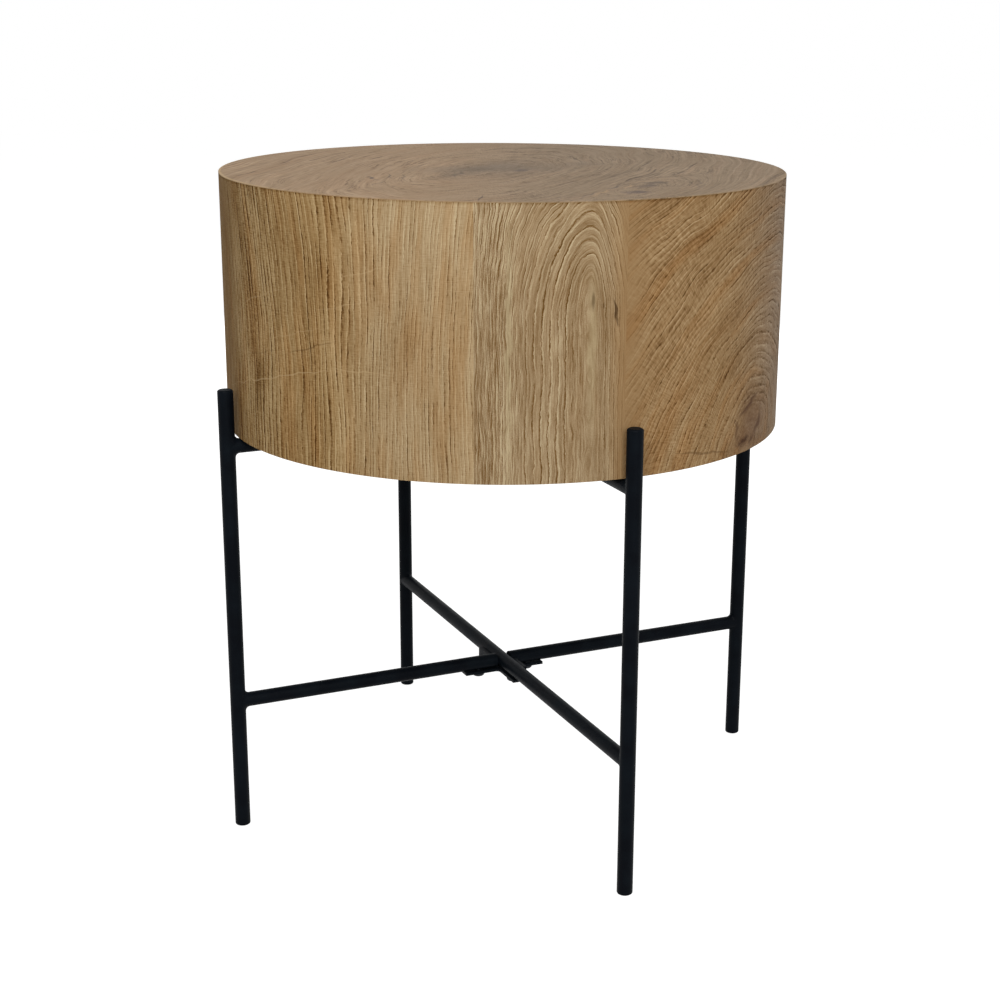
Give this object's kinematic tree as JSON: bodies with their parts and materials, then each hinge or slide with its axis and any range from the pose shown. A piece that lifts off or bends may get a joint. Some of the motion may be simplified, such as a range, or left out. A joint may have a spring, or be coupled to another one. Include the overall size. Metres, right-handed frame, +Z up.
{
  "type": "round side table",
  "caption": "Round wood veneered drum side table carried by a crossed black steel bar frame whose legs rise beside the drum.",
  "frame": {"origin": "on the floor under the middle of the drum", "axes": "+Z up; a leg stands at -Y, +X, +Y and -X; the long bars run along Y"},
  "size_m": [0.428, 0.428, 0.47],
  "materials": {
    "oak_top_veneer": "matt lacquered oak veneer",
    "oak_side_veneer": "matt lacquered oak veneer",
    "oak_backing_veneer": "unsanded oak backing veneer",
    "fibreboard": "raw medium density fibreboard",
    "bent_plywood": "raw bendable plywood",
    "pine": "sawn pine",
    "brass": "turned brass",
    "black_zinc_steel": "black zinc plated steel",
    "black_powder_coat": "satin black powder coat on steel"
  },
  "bodies": {
    "root": {"bottom_board": "fibreboard", "bottom_veneer": "oak_backing_veneer", "drum_bolts": "black_zinc_steel", "drum_saddle_washers": "black_zinc_steel", "drum_threaded_inserts": "brass", "former_ring": "fibreboard", "leg_back": "black_powder_coat", "leg_front": "black_powder_coat", "leg_left": "black_powder_coat", "leg_right": "black_powder_coat", "lower_batten_1": "pine", "lower_batten_2": "pine", "lower_batten_3": "pine", "lower_batten_4": "pine", "lower_batten_5": "pine", "lower_batten_6": "pine", "lower_cross_plate": "black_powder_coat", "lower_half_bar_left": "black_powder_coat", "lower_half_bar_right": "black_powder_coat", "lower_joint_bolts": "black_zinc_steel", "lower_joint_key_left": "black_powder_coat", "lower_joint_key_right": "black_powder_coat", "lower_key_welds": "black_powder_coat", "lower_leg_welds": "black_powder_coat", "lower_long_bar": "black_powder_coat", "side_hoop": "bent_plywood", "side_veneer_leaf_1": "oak_side_veneer", "side_veneer_leaf_2": "oak_side_veneer", "side_veneer_leaf_3": "oak_side_veneer", "side_veneer_leaf_4": "oak_side_veneer", "side_veneer_leaf_5": "oak_side_veneer", "top_board": "fibreboard", "top_veneer": "oak_top_veneer", "upper_batten_1": "pine", "upper_batten_2": "pine", "upper_batten_3": "pine", "upper_batten_4": "pine", "upper_batten_5": "pine", "upper_batten_6": "pine", "upper_cross_plate": "black_powder_coat", "upper_half_bar_left": "black_powder_coat", "upper_half_bar_right": "black_powder_coat", "upper_joint_bolts": "black_zinc_steel", "upper_joint_key_left": "black_powder_coat", "upper_joint_key_right": "black_powder_coat", "upper_key_welds": "black_powder_coat", "upper_leg_welds": "black_powder_coat", "upper_long_bar": "black_powder_coat"}
  },
  "joints": []
}
